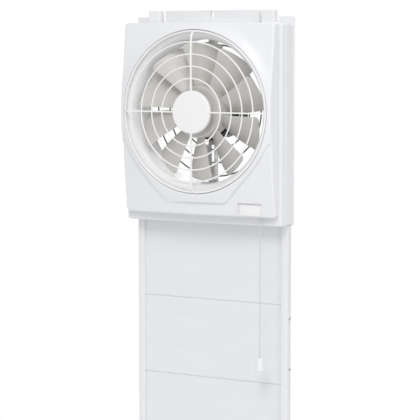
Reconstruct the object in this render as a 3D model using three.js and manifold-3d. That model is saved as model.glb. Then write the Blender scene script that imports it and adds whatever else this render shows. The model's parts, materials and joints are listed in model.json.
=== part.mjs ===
// Window ventilating fan with a pull-cord switch, on a filler frame that stands on the window sill.
// Millimetres. X runs across the window, +Y points outdoors, +Z is up.
// The origin is the middle of the sill shoe's underside; Y = 0 is the plane that meets the window frame.
import * as THREE from 'three';
import { mergeVertices } from 'three/addons/utils/BufferGeometryUtils.js';
import Module from 'manifold-3d';

const wasm = await Module();
wasm.setup();

// ---- driving dimensions ----
const axisHeight = 641;          // fan axis above the sill
const bladeRadius = 96.4;        // tips, nominal 200 mm fan
const bladeCount = 10;
const bladeThickness = 1.8;
const bladeCamber = 2.2;
// Edges of the first blade, degrees from +X and depth; t runs from 0 at the hub to 1 at the tip.
const leadingAngle = (t) => 30.2 + 1.9 * t + t * t;
const trailingAngle = (t) => 0.15 - 3.9 * t + 6.4 * t * t;
const leadingY = (t) => -43.8 - 7.9 * t;
const trailingY = (t) => -28.1 + 5.1 * t;
const leadingCorner = 6.5;       // rounding at the tip
const trailingCorner = 3;
const hubRadius = 36.7;
const hubFrontY = -53.2;
const shaftRadius = 3.9;
const gap = 0.3;                 // between pieces that touch

const panelHalfWidth = 119.6;    // front bezel
const panelTop = 123.8;          // above the fan axis
const panelBottom = -144.6;
const panelRearY = -36.1;
const panelFrontY = -57;         // beside the boss
const panelCornerY = -46;        // the crowned face falls back to this at crownRadius
const crownRadius = 190;
const labelSeatY = -50.3;
const panelWall = 2.4;
const panelBevel = 5;
const bossFrontY = -62.5;        // raised ring round the grille
const bossRadius = 122.5;
const mouthRadius = 114.2;       // round opening of the bezel
const ringRadii = [46.6, 63.4, 80.2, 97];             // grille rings
const ringY = -69;
const ringWire = 1.05;
const capRadius = 30;
const capFrontY = -70.2;

const frameHalfWidth = 124.9;    // moulded frame behind the bezel
const frameTop = 122.9;
const frameBottom = -157.5;
const frameFrontY = -35.7;
const frameRearY = -3.3;
const frameWall = 2.4;
const flangeHalfWidth = 125.7;
const flangeThickness = 3;
const throatRadius = 101;
const throatRearY = -12;

const bracketHalfWidth = 101.8;  // top bracket
const bracketTop = 141.3;
const plateHalfWidth = 75.8;
const blockWidth = 20.9;

const railInner = 111.7;         // side rails
const railOuter = 121.6;
const railFrontY = -11.5;
const railBottom = 140;
const railWall = 1.2;
const slatHeight = 113.4;
const slatFrontY = -6.7;
const slatThickness = 2.8;
const slatHalfWidth = 114.5;
const lowerRailTop = 400;
const lowerPanelTop = 262;
const shoeHeight = 10;

const motorRadius = 39;
const motorFlange = 42;
const motorEarX = 42.7;          // screwed ears at both sides of the motor's flange
const motorEarRadius = 4.2;
const motorFrontY = -18;
const motorRearY = 35;
const stayHalfWidth = 7.5;
const stayLip = 8;               // height of the stay's folded edges
const stayFrontY = -5.3;
const stayRearY = -3.3;
const guardWire = 1.1;           // radius of the rear guard's wires
const guardRadii = [55.6, 74, 93.2];
const guardRim = 107.6;          // outer ring, behind the flange

const cordX = 95;                // pull cord
const cordY = -43;
const cordRadius = 0.7;
const cordTop = -145.7;          // below the fan axis
const knobTop = -340;
const knobHeight = 18.4;
const knobRadius = 6.5;

// ---- materials ----
const paint = (color, roughness, metalness = 0) =>
  new THREE.MeshStandardMaterial({ color, roughness, metalness });
const white = paint(0xf0f1f3, 0.35);
const frameWhite = paint(0xe2e4e6, 0.45);
const boardWhite = paint(0xe3e5e7, 0.55);
const throatGrey = paint(0xd5d8d8, 0.45);
const bladeBeige = paint(0xbeb9b2, 0.4);
const black = paint(0x2a2a2a, 0.45);
const darkRubber = paint(0x3a3a3c, 0.8);
const zinc = paint(0xa9abad, 0.35, 0.9);
const steel = paint(0xc4c6c8, 0.25, 1);
const copper = paint(0xb87333, 0.4, 0.9);
const foam = paint(0x6a6c6e, 0.95);
const wireGrey = paint(0xb9bcbe, 0.4, 0.3);

// ---- solids from three.js geometry ----
function signedVolume(position, index) {
  const a = new THREE.Vector3();
  const b = new THREE.Vector3();
  const c = new THREE.Vector3();
  let total = 0;
  for (let i = 0; i < index.count; i += 3) {
    a.fromBufferAttribute(position, index.getX(i));
    b.fromBufferAttribute(position, index.getX(i + 1));
    c.fromBufferAttribute(position, index.getX(i + 2));
    total += a.dot(b.cross(c)) / 6;
  }
  return total;
}

function solid(geometry) {
  geometry.deleteAttribute('normal');
  geometry.deleteAttribute('uv');
  const merged = mergeVertices(geometry, 1e-4);
  const corners = merged.index.array.slice();
  if (signedVolume(merged.attributes.position, merged.index) < 0) corners.reverse();
  const kept = [];
  for (let i = 0; i < corners.length; i += 3) {
    const [a, b, c] = corners.slice(i, i + 3);
    if (a !== b && b !== c && c !== a) kept.push(a, b, c);
  }
  const mesh = new wasm.Mesh({
    numProp: 3,
    vertProperties: new Float32Array(merged.attributes.position.array),
    triVerts: new Uint32Array(kept),
  });
  mesh.merge();
  return new wasm.Manifold(mesh);
}

function toGeometry(body) {
  const mesh = body.getMesh();
  const geometry = new THREE.BufferGeometry();
  geometry.setAttribute('position', new THREE.BufferAttribute(mesh.vertProperties, 3));
  geometry.setIndex(new THREE.BufferAttribute(mesh.triVerts, 1));
  geometry.computeVertexNormals();
  return geometry;
}

const join = (...bodies) => bodies.reduce((sum, body) => sum.add(body));

function box([x0, x1], [y0, y1], [z0, z1]) {
  const geometry = new THREE.BoxGeometry(x1 - x0, y1 - y0, z1 - z0);
  return solid(geometry.translate((x0 + x1) / 2, (y0 + y1) / 2, (z0 + z1) / 2));
}

// Round bar between two heights along 'x', 'y' or 'z', at the other two coordinates in that order.
function rod(direction, [u, v], radius, [from, to], sides = 10) {
  const geometry = new THREE.CylinderGeometry(radius, radius, to - from, sides);
  const middle = (from + to) / 2;
  if (direction === 'x') return solid(geometry.rotateZ(Math.PI / 2).translate(middle, u, v));
  if (direction === 'z') return solid(geometry.rotateX(Math.PI / 2).translate(u, v, middle));
  return solid(geometry.translate(u, middle, v));
}

// Turned shape about the fan axis from [radius, y] points.
function turned(points, sides = 28) {
  const profile = points.map(([radius, y]) => new THREE.Vector2(radius, y));
  return solid(new THREE.LatheGeometry(profile, sides));
}

function turnedRing(points, sides = 28) {
  return turned([...points, points[0]], sides);
}

function wireRing(radius, y, wire, sides = 32) {
  const section = Array.from({ length: 4 }, (_, k) => {
    const angle = (k / 4 + 1 / 8) * 2 * Math.PI;
    return [radius + wire * Math.cos(angle), y + wire * Math.sin(angle)];
  });
  return turnedRing(section, sides);
}

function roundedOutline(x0, x1, z0, z1, radius) {
  const shape = new THREE.Shape();
  shape.moveTo(x0 + radius, z0);
  shape.lineTo(x1 - radius, z0);
  shape.absarc(x1 - radius, z0 + radius, radius, -Math.PI / 2, 0);
  shape.lineTo(x1, z1 - radius);
  shape.absarc(x1 - radius, z1 - radius, radius, 0, Math.PI / 2);
  shape.lineTo(x0 + radius, z1);
  shape.absarc(x0 + radius, z1 - radius, radius, Math.PI / 2, Math.PI);
  shape.lineTo(x0, z0 + radius);
  shape.absarc(x0 + radius, z0 + radius, radius, Math.PI, 1.5 * Math.PI);
  return shape;
}

const polygon = (points) => new THREE.Shape(points.map(([u, v]) => new THREE.Vector2(u, v)));

// An outline in X and Z, given depth between two Y planes.
function slab(shape, [front, rear], bevel = 0) {
  const geometry = new THREE.ExtrudeGeometry(shape, {
    depth: rear - front - 2 * bevel,
    bevelEnabled: bevel > 0,
    bevelSize: bevel,
    bevelThickness: bevel,
    bevelSegments: 2,
    curveSegments: 3,
  });
  return solid(geometry.rotateX(Math.PI / 2).translate(0, rear - bevel, 0));
}

// An outline in X and Y, given height between two Z planes.
function column(points, [low, high]) {
  const geometry = new THREE.ExtrudeGeometry(polygon(points), { depth: high - low, bevelEnabled: false });
  return solid(geometry.translate(0, 0, low));
}

const turnAboutAxis = (body, degrees) => body.rotate([0, -degrees, 0]);
const mirrored = (body) => body.mirror([1, 0, 0]);

// ---- the scene ----
const product = new THREE.Group();
const fan = new THREE.Group();           // everything measured from the fan axis
fan.position.z = axisHeight;
product.add(fan);

function place(group, name, body, material) {
  const mesh = new THREE.Mesh(toGeometry(body), material);
  mesh.name = name;
  group.add(mesh);
}

// ---- front panel ----
function frontBezel() {
  const outline = roundedOutline(
    -panelHalfWidth + panelBevel, panelHalfWidth - panelBevel,
    panelBottom + panelBevel, panelTop - panelBevel, 4);
  const block = slab(outline, [panelFrontY, panelRearY + 2 * panelBevel], panelBevel)
    .intersect(box([-200, 200], [-100, panelRearY], [-200, 200]));
  const crown = turned([
    [0, panelFrontY], [bossRadius, panelFrontY], [crownRadius, panelCornerY], [crownRadius, 0], [0, 0]], 40);
  const boss = turned([
    [0, bossFrontY], [mouthRadius + 1, bossFrontY], [mouthRadius + 4, bossFrontY + 1],
    [bossRadius, panelFrontY + 0.6], [bossRadius, panelFrontY + 2], [0, panelFrontY + 2]], 40);
  const apronSide = new THREE.ExtrudeGeometry(
    polygon([[bossFrontY + 1, -90], [panelFrontY - 1.2, -127], [panelFrontY + 1.5, -129],
      [panelFrontY + 1.5, -90]]),
    { depth: 200, bevelEnabled: false });
  // outline in (y, z) turned so that its depth runs along X
  apronSide.applyMatrix4(new THREE.Matrix4().set(0, 0, 1, -100, 1, 0, 0, 0, 0, 1, 0, 0, 0, 0, 0, 1));
  const apron = solid(apronSide).intersect(
    slab(polygon([[-95, -76], [95, -76], [44, -127], [40, -130], [-40, -130], [-44, -127]]), [-100, 0]));
  const sides = box([-panelHalfWidth, panelHalfWidth], [-100, 0], [panelBottom, panelTop]);
  const inside = slab(
    roundedOutline(-panelHalfWidth + panelWall, panelHalfWidth - panelWall,
      panelBottom + panelWall, panelTop - panelWall, 3),
    [panelFrontY, 0]).intersect(crown.translate([0, panelWall, 0]));
  const labelPad = box([64.5, 102.5], [labelSeatY, labelSeatY + 3.2], [-143, -124.5]);
  const mouth = turned([[0, -100], [mouthRadius, -100], [mouthRadius, 0], [0, 0]], 40);
  const labelPocket = box([64.5, 102.5], [-100, labelSeatY], [-143, -124.5]);
  const cordNotch = box([cordX - 5.5, cordX + 5.5], [cordY - 5.5, 0], [panelBottom - 5, panelBottom + 5]);
  return join(block.intersect(crown), apron, boss.intersect(sides)).subtract(inside).add(labelPad)
    .subtract(mouth).subtract(labelPocket).subtract(cordNotch);
}

function grilleSpoke(width) {
  const shape = polygon([
    [27, capFrontY + 0.2], [97.5, capFrontY + 0.2], [103, -69], [108, -66.3], [111.6, -62.5], [111.6, -60],
    [109.9, -60], [106.4, -64.6], [102, -66.8], [97, -67.3], [27, -67.3]]);
  const geometry = new THREE.ExtrudeGeometry(shape, { depth: width, bevelEnabled: false });
  return solid(geometry.translate(0, 0, -width / 2));
}

function frontGrille() {
  const outer = turnedRing([
    [110.4, -57.6], [110.4, -62], [111.2, -63], [112.6, -63], [113.5, -62], [113.5, -57.6]], 40);
  const cap = turned([
    [0, capFrontY - 0.3], [20, capFrontY - 0.2], [28, capFrontY + 0.5], [capRadius, capFrontY + 2.6],
    [capRadius + 0.3, -64], [capRadius - 1.4, -64],
    [capRadius - 1.8, capFrontY + 3.2], [0, capFrontY + 2.4]]);
  const rings = ringRadii.map((radius) => wireRing(radius, ringY, ringWire));
  const spokes = [0, 90, 180, 270].map((angle) =>
    turnAboutAxis(grilleSpoke(angle % 180 === 0 ? 2.2 : 2.8), angle));
  return join(outer, cap, ...rings, ...spokes);
}

place(fan, 'front_bezel', frontBezel(), white);
place(fan, 'front_grille', frontGrille(), white);
place(fan, 'label_plate', slab(
  roundedOutline(67.5, 99.5, -142.3, -127, 2), [labelSeatY - gap - 1.6, labelSeatY - gap]), white);

// ---- rotor ----
function blade(turn) {
  const rootRadius = hubRadius - 1.1;
  const stations = [rootRadius, 56, 76, bladeRadius - leadingCorner, bladeRadius - 1.8, bladeRadius];
  const radialSteps = stations.length - 1;
  const chordSteps = 4;
  const inset = (radius, corner) => {
    const past = Math.max(0, radius - bladeRadius + corner);
    return (corner - Math.sqrt(corner * corner - past * past)) / radius;
  };
  const front = [];
  const rear = [];
  for (const radius of stations) {
    const t = (radius - hubRadius) / (bladeRadius - hubRadius);
    const lead = THREE.MathUtils.degToRad(leadingAngle(t));
    const chord = lead - THREE.MathUtils.degToRad(trailingAngle(t));
    const depth = trailingY(t) - leadingY(t);
    const first = inset(radius, leadingCorner) / chord;
    const last = 1 - inset(radius, trailingCorner) / chord;
    const run = chord * radius;
    const slope = Math.hypot(run, depth);
    for (let j = 0; j <= chordSteps; j += 1) {
      const along = first + (j / chordSteps) * (last - first);
      const angle = turn + lead - chord * along;
      const y = leadingY(t) + depth * along - bladeCamber * Math.sin(along * Math.PI);
      const tangent = new THREE.Vector3(-Math.sin(angle), 0, Math.cos(angle));
      const offset = tangent.multiplyScalar(depth / slope).setY(run / slope)
        .multiplyScalar(bladeThickness / 2);
      const middle = new THREE.Vector3(radius * Math.cos(angle), y, radius * Math.sin(angle));
      front.push(middle.clone().sub(offset));
      rear.push(middle.clone().add(offset));
    }
  }
  const row = chordSteps + 1;
  const faces = [];
  const quad = (a, b, c, d) => faces.push(a, b, c, a, c, d);
  const other = front.length;
  for (let i = 0; i < radialSteps; i += 1) {
    for (let j = 0; j < chordSteps; j += 1) {
      const a = i * row + j;
      quad(a, a + 1, a + row + 1, a + row);
      quad(other + a, other + a + row, other + a + row + 1, other + a + 1);
    }
    const start = i * row;
    const end = start + chordSteps;
    quad(start, start + row, other + start + row, other + start);
    quad(end, other + end, other + end + row, end + row);
  }
  for (let j = 0; j < chordSteps; j += 1) {
    const tip = radialSteps * row + j;
    quad(j, other + j, other + j + 1, j + 1);
    quad(tip, tip + 1, other + tip + 1, other + tip);
  }
  const geometry = new THREE.BufferGeometry().setFromPoints([...front, ...rear]);
  geometry.setIndex(faces);
  return solid(geometry);
}

function impeller() {
  const bore = shaftRadius + gap;
  const hub = turnedRing([
    [bore, hubFrontY], [31, hubFrontY], [35.5, hubFrontY + 1.7], [hubRadius, hubFrontY + 5.2],
    [hubRadius, -22], [34.7, -22], [34.7, hubFrontY + 5.7], [31, hubFrontY + 2.3], [9, hubFrontY + 2.3],
    [9, -24], [bore, -24]]);
  const blades = Array.from({ length: bladeCount }, (_, k) =>
    blade((k / bladeCount) * 2 * Math.PI));
  return join(hub, ...blades);
}

const ringOf = (inner, outer, [from, to], sides = 18) =>
  turnedRing([[inner, from], [outer, from], [outer, to], [inner, to]], sides);

place(fan, 'impeller', impeller(), bladeBeige);
place(fan, 'spinner_nut', ringOf(shaftRadius + gap, 8, [-57.5, hubFrontY - gap], 6)
  .subtract(rod('y', [0, 0], shaftRadius + gap, [-100, 0], 24)), zinc);
place(fan, 'motor_shaft', rod('y', [0, 0], shaftRadius, [-60, 30.8], 18), steel);
place(fan, 'rotor_core', ringOf(shaftRadius + gap, 19.6, [-2, 18]), zinc);

// ---- motor ----
const motorEars = (span) => join(
  rod('y', [motorEarX, 0], motorEarRadius, span, 16), rod('y', [-motorEarX, 0], motorEarRadius, span, 16));
const motorHoles = join(rod('y', [motorEarX, 0], 1.5, [-30, 10]), rod('y', [-motorEarX, 0], 1.5, [-30, 10]));

place(fan, 'motor_front_housing', turnedRing([
  [6, -20.5], [12.8, -20.5], [12.8, motorFrontY], [36, motorFrontY], [motorRadius, motorFrontY + 2.4],
  [motorRadius, -7.3], [motorFlange, -7.3], [motorFlange, stayFrontY - gap], [37.6, stayFrontY - gap],
  [37.6, motorFrontY + 2.8], [35.4, motorFrontY + 1.6], [12.8, motorFrontY + 1.6], [12.8, -12],
  [11.2, -12], [11.2, -19.2], [6, -19.2]], 24)
  .add(motorEars([-7.3, stayFrontY - gap])).subtract(motorHoles), black);
place(fan, 'motor_rear_housing', turned([
  [0, motorRearY], [22, motorRearY], [36, motorRearY - 2], [motorRadius, motorRearY - 6],
  [motorRadius, -1.2], [motorFlange, -1.2], [motorFlange, stayRearY + gap], [37.6, stayRearY + gap],
  [37.6, motorRearY - 6.6], [35, motorRearY - 3.8], [12.8, motorRearY - 3.8], [12.8, 24], [11.2, 24],
  [11.2, motorRearY - 3.4], [0, motorRearY - 3.4]], 24)
  .add(motorEars([stayRearY + gap, -1.2])).subtract(motorHoles), black);
place(fan, 'bearing_front', ringOf(shaftRadius + gap, 10.9, [-18.9, -12.3]), steel);
place(fan, 'bearing_rear', ringOf(shaftRadius + gap, 10.9, [24.3, 31.1]), steel);
place(fan, 'stator_core', ringOf(20.6, 37.2, [-2, 18]), zinc);
place(fan, 'winding_front', ringOf(22, 34, [-11.5, -2 - gap]), copper);
place(fan, 'winding_rear', ringOf(22, 34, [18 + gap, 26]), copper);

// ---- frame behind the panel ----
const drillY = (x, z, radius, span) => rod('y', [x, z], radius, span, 8);
const corners = [[-1, -1], [1, -1], [1, 1], [-1, 1]];
const flangeScrews = corners.map(([sx, sz]) => [sx * 116, sz > 0 ? 113 : -147]);
const orificeScrews = corners.map(([sx, sz]) => [sx * 79, sz * 79]);

function mountingFrame() {
  const outer = slab(
    roundedOutline(-frameHalfWidth + 1.5, frameHalfWidth - 1.5, frameBottom + 1.5, frameTop - 1.5, 3),
    [frameFrontY, frameRearY + 6], 1.5).intersect(box([-200, 200], [-100, frameRearY], [-200, 200]));
  const inside = box(
    [-frameHalfWidth + frameWall, frameHalfWidth - frameWall], [frameFrontY + frameWall, 50],
    [frameBottom + frameWall, frameTop - frameWall]);
  const posts = flangeScrews.map(([x, z]) =>
    box([x - 6, x + 6], [frameFrontY + 1, frameRearY], [z - 6, z + 6]));
  const spigot = box([railInner + 3.5, railOuter - 1.6], [-9.9, frameRearY], [frameBottom - 18, frameBottom + 1]);
  let body = join(outer.subtract(inside), ...posts, spigot, mirrored(spigot));
  body = body.subtract(turned([[0, -100], [108, -100], [108, frameFrontY + 4], [0, frameFrontY + 4]], 36));
  for (const [x, z] of flangeScrews) body = body.subtract(drillY(x, z, 1.8, [-20, 10]));
  for (const [x, z] of orificeScrews) body = body.subtract(drillY(x, z, 1.8, [-60, -20]));
  return body.subtract(rod('x', [-18, -135], 5.2, [-200, -110]));
}

function rearFlange() {
  const bottom = frameBottom;
  const shoulder = 121;
  const tabTop = 132.3;
  const outline = polygon([
    [-flangeHalfWidth, bottom], [flangeHalfWidth, bottom], [flangeHalfWidth, tabTop],
    [bracketHalfWidth + 1, tabTop], [bracketHalfWidth + 1, shoulder], [-bracketHalfWidth - 1, shoulder],
    [-bracketHalfWidth - 1, tabTop], [-flangeHalfWidth, tabTop]]);
  let body = slab(outline, [-flangeThickness, 0]).subtract(turned([[0, -50], [106, -50], [106, 50], [0, 50]], 40));
  for (const [x, z] of flangeScrews) body = body.subtract(drillY(x, z, 1.8, [-20, 10]));
  for (const z of [-110.5, 110.5]) body = body.subtract(drillY(0, z, 1.8, [-20, 10]));
  return body;
}

function orificeRing() {
  let body = turnedRing([
    [111.6, -57], [106.8, -53.6], [103.2, -48], [throatRadius + 0.3, -42], [throatRadius, -38],
    [throatRadius, throatRearY], [throatRadius + 1.8, throatRearY], [throatRadius + 1.8, frameFrontY - gap],
    [116.5, frameFrontY - gap], [116.5, -37.8], [103.4, -37.8], [104.8, -47], [108.2, -52.2],
    [113, -55.6], [113, -57]], 40);
  for (const [x, z] of orificeScrews) body = body.subtract(drillY(x, z, 1.8, [-60, -20]));
  return body;
}

place(fan, 'mounting_frame', mountingFrame(), frameWhite);
place(fan, 'rear_flange', rearFlange(), frameWhite);
place(fan, 'orifice_ring', orificeRing(), throatGrey);

function motorStay() {
  const disc = turned([[0, stayFrontY], [motorFlange, stayFrontY], [motorFlange, stayRearY], [0, stayRearY]]);
  const strip = box([-stayHalfWidth, stayHalfWidth], [stayFrontY, stayRearY], [-116, 116]);
  const lip = box([stayHalfWidth - 1.5, stayHalfWidth], [stayFrontY - stayLip, stayRearY], [48, 97]);
  const lips = join(lip, mirrored(lip));
  const eye = turned([[0, -50], [38, -50], [38, 50], [0, 50]]);
  const slot = box([-3, 3], [-20, 10], [46.5, 76]);
  let body = join(disc, strip, lips, lips.mirror([0, 0, 1]), motorEars([stayFrontY, stayRearY]))
    .subtract(join(eye, slot, slot.mirror([0, 0, 1]), motorHoles));
  for (const z of [-110.5, 110.5]) body = body.subtract(drillY(0, z, 1.8, [-20, 10]));
  return body;
}

function rearGuard() {
  const rings = guardRadii.map((radius) => wireRing(radius, 0, guardWire, 24));
  const rim = wireRing(guardRim, guardWire + gap, guardWire, 24);
  const bars = [45, 140, 220, 320].map((angle) =>
    turnAboutAxis(rod('x', [guardWire + gap, 0], guardWire, [guardRadii[0] - 0.6, guardRim + 1], 5), angle));
  return join(...rings, rim, ...bars);
}

place(fan, 'motor_stay', motorStay(), zinc);
place(fan, 'rear_guard', rearGuard(), wireGrey);

// ---- top bracket ----
function topPlate() {
  const low = frameTop + gap;
  const upright = box([-plateHalfWidth, plateHalfWidth], [-9, -4], [low, bracketTop]);
  const foot = box([-plateHalfWidth, plateHalfWidth], [-22, -4], [low, low + 2.2]);
  const slot = join(
    box([-2.6, 2.6], [-30, 10], [132.3, 137.3]),
    drillY(0, 132.3, 2.6, [-30, 10]),
    drillY(0, 137.3, 2.6, [-30, 10]));
  return join(upright, foot).subtract(slot);
}

function topBlock() {
  const inner = bracketHalfWidth - blockWidth;
  const low = frameTop + gap;
  const shape = column(
    [[inner, -4], [inner, -14], [inner + 1.5, -16], [bracketHalfWidth - 1.5, -16], [bracketHalfWidth, -14],
      [bracketHalfWidth, -4]], [low, bracketTop]);
  const slope = new THREE.ExtrudeGeometry(
    polygon([[inner - 1, low], [bracketHalfWidth + 1, low], [bracketHalfWidth - 1, bracketTop + 0.01],
      [inner + 0.6, bracketTop + 0.01]]), { depth: 40, bevelEnabled: false });
  return shape.intersect(solid(slope.rotateX(Math.PI / 2).translate(0, 10, 0)));
}

place(fan, 'top_plate', topPlate(), frameWhite);
place(fan, 'top_block_right', topBlock(), frameWhite);
place(fan, 'top_block_left', mirrored(topBlock()), frameWhite);

// ---- switch and pull cord ----
function switchBody() {
  const top = -108;
  const bottom = -133;
  const shell = box([86, 104], [-46.7, frameFrontY - gap], [bottom, top]);
  const snout = rod('z', [cordX, cordY], 3.6, [-140, bottom + 1], 14);
  const cavity = box([90, 100], [-45.3, -38.5], [bottom + 2, top - 2.5]);
  const bore = rod('z', [cordX, cordY], 2.1, [-150, bottom + 4], 12);
  const vent = box([93, 97], [-40, 0], [top - 8, top - 5]);
  return join(shell, snout).subtract(cavity).subtract(bore).subtract(vent);
}

function switchSlider() {
  const head = box([91, 99], [-44.8, -39.5], [-115, -111.2]);
  const stem = rod('z', [cordX, cordY], 1.3, [-144.2, -114], 12);
  const bead = rod('z', [cordX, cordY], 2.2, [cordTop + gap, -143.6], 12);
  return join(head, stem, bead);
}

function upright(points, sides = 16) {
  return turned(points, sides).rotate([90, 0, 0]).translate([cordX, cordY, 0]);
}

place(fan, 'switch_body', switchBody(), black);
place(fan, 'switch_slider', switchSlider(), white);
place(fan, 'cord_eyelet', ringOf(1.9, 4.6, [-143.2, -140.3], 14).rotate([90, 0, 0])
  .translate([cordX, cordY, 0]), white);

const cordLine = new THREE.LineCurve3(
  new THREE.Vector3(cordX, cordY, cordTop), new THREE.Vector3(cordX, cordY, knobTop + gap));
const cordSection = new THREE.Shape(Array.from({ length: 8 }, (_, k) => {
  const angle = (k / 8) * 2 * Math.PI;
  return new THREE.Vector2(cordRadius * Math.cos(angle), cordRadius * Math.sin(angle));
}));
place(fan, 'pull_cord', solid(new THREE.ExtrudeGeometry(cordSection, {
  steps: 42, extrudePath: cordLine, bevelEnabled: false })), white);
place(fan, 'pull_knob', upright([
  [0, knobTop], [2.4, knobTop - 0.2], [4.6, knobTop - 1.6], [5.6, knobTop - 4],
  [5.9, knobTop - knobHeight + 4], [knobRadius, knobTop - knobHeight + 2.4],
  [knobRadius, knobTop - knobHeight], [0, knobTop - knobHeight]]), white);

// ---- wiring ----
const leadPath = new THREE.CatmullRomCurve3([
  [-14, -10.4, -40.4], [-14, -10.2, -60], [-13.7, -9.6, -85], [-13.7, -9.3, -105], [-11, -10, -120],
  [4, -12, -132], [32, -15, -138.5], [52, -17, -139], [69.6, -18, -139],
].map((point) => new THREE.Vector3(...point)));
const leadSection = new THREE.Shape(Array.from({ length: 8 }, (_, k) => {
  const angle = (k / 8) * 2 * Math.PI;
  return new THREE.Vector2(2 * Math.cos(angle), 2 * Math.sin(angle));
}));
place(fan, 'motor_lead', solid(new THREE.ExtrudeGeometry(leadSection, {
  steps: 20, extrudePath: leadPath, bevelEnabled: false })), darkRubber);
place(fan, 'terminal_block', box([70, 106], [-29, -12], [-151, -128]), black);
place(fan, 'capacitor', box([-106, -70], [-30, -12], [-148, -126]), black);
place(fan, 'power_cord_gland', join(
  rod('x', [-18, -135], 7.4, [-flangeHalfWidth, -frameHalfWidth - gap], 14),
  rod('x', [-18, -135], 4.8, [-frameHalfWidth - 1, -117], 14))
  .subtract(rod('x', [-18, -135], 3.2, [-200, -100], 10)), darkRubber);

// ---- seals and screws ----
const seal = box([119.4, 124.2], [gap, 3.3], [-141, 107]);
place(fan, 'seal_right', seal, foam);
place(fan, 'seal_left', mirrored(seal), foam);

// A pan-head screw along Y; its head bears on the plane y and its shank points to +Y or -Y.
function screwY(x, z, y, length, into = 1, shank = 1.4, head = 3) {
  const span = (a, b) => (into > 0 ? [y + a, y + b] : [y - b, y - a]);
  return join(
    rod('y', [x, z], head, span(-2 - gap, -gap), 10),
    rod('y', [x, z], shank, span(-1, length), 6));
}

flangeScrews.forEach(([x, z], k) =>
  place(fan, `flange_screw_${k + 1}`, screwY(x, z, 0, 14, -1), steel));
orificeScrews.forEach(([x, z], k) =>
  place(fan, `orifice_screw_${k + 1}`, screwY(x, z, -37.8, 8), steel));
[['bottom', -110.5], ['top', 110.5]].forEach(([end, z]) =>
  place(fan, `stay_screw_${end}`, screwY(0, z, stayFrontY, 6), steel));
[['left', -motorEarX], ['right', motorEarX]].forEach(([side, x]) =>
  place(fan, `motor_screw_${side}`, screwY(x, 0, -7.3, 7.5, 1, 1.1, 2.4), steel));

// ---- side rails and filler boards ----
const rails = new THREE.Group();
product.add(rails);
const railTop = axisHeight + frameBottom - gap;
const lockHeights = [281, 353.3];

function sideRail() {
  const lip = railOuter - 5.4;
  let body = column([
    [railInner, railFrontY], [railOuter, railFrontY], [railOuter, 0], [lip, 0], [lip, -railWall],
    [railOuter - railWall, -railWall], [railOuter - railWall, railFrontY + railWall],
    [railInner + railWall, railFrontY + railWall], [railInner + railWall, slatFrontY - gap],
    [railInner, slatFrontY - gap]], [railBottom, railTop]);
  for (const z of lockHeights) body = body.subtract(rod('x', [-5.6, z], 1.9, [100, 130]));
  return body;
}

function lockScrew(z) {
  return join(
    rod('x', [-5.6, z], 2.6, [railOuter + gap, railOuter + 1.8], 10),
    rod('x', [-5.6, z], 1.4, [120 + gap, railOuter + 1], 6));
}

place(rails, 'side_rail_right', sideRail(), frameWhite);
place(rails, 'side_rail_left', mirrored(sideRail()), frameWhite);
lockHeights.forEach((z, k) => {
  place(rails, `lock_screw_right_${k + 1}`, lockScrew(z), steel);
  place(rails, `lock_screw_left_${k + 1}`, mirrored(lockScrew(z)), steel);
});

const firstJoint = 371.3;
[1, 2, 3].forEach((number) => {
  const low = firstJoint - (number - 1) * slatHeight + gap;
  const high = number === 1 ? railTop - gap : low + slatHeight - 2 * gap;
  place(rails, `filler_slat_${number}`, box(
    [-slatHalfWidth, slatHalfWidth], [slatFrontY, slatFrontY + slatThickness], [low, high]), boardWhite);
});

// ---- sill section ----
const lowerRail = () => box([115.2, 120], [-9.9, -1.6], [6, lowerRailTop]);
const lowerPanel = box([-114.4, 114.4], [-3.4, -0.9], [8, lowerPanelTop]);

function sillShoe() {
  const body = slab(roundedOutline(-125, 125, 0.01, shoeHeight, 1.5), [-16, 4]);
  const socket = box([114.9, 120.3], [-10.2, -1.3], [5.7, 50]);
  const channel = box([-115.2, 115.2], [-3.7, -0.6], [7.7, 50]);
  return body.subtract(socket).subtract(mirrored(socket)).subtract(channel).translate([0, 0, -0.01]);
}

place(product, 'sill_shoe', sillShoe(), frameWhite);
place(product, 'lower_panel', lowerPanel, boardWhite);
place(product, 'lower_rail_right', lowerRail(), frameWhite);
place(product, 'lower_rail_left', mirrored(lowerRail()), frameWhite);

export default product;
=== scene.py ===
"""Window ventilating fan on a filler frame: the visible pieces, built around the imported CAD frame.

Builders work in millimetres from the fan axis, at the height of the impeller's hinge, and place() turns
that into metres in the row's frame. X runs across the window, +Y points outdoors, +Z is up.
"""
import json
import math

import bmesh
import bpy
from mathutils import Matrix, Vector


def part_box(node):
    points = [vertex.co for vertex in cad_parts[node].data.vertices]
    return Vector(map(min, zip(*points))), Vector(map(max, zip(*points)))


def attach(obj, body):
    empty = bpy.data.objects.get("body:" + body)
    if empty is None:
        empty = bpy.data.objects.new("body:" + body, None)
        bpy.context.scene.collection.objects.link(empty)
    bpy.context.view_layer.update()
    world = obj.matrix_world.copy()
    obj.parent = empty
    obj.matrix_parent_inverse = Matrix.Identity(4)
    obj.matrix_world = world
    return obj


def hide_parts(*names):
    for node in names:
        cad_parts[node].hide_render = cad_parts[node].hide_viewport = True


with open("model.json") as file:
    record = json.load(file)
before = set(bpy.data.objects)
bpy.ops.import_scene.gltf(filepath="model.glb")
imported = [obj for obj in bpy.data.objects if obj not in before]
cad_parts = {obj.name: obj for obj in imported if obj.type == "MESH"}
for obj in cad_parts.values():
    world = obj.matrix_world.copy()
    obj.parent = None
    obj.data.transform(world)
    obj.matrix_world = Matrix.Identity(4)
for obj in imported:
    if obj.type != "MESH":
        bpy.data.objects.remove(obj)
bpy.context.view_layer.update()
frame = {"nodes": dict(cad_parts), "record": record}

MM = 0.001
TAU = 2 * math.pi
GAP = 0.3                                   # between pieces that touch

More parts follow.
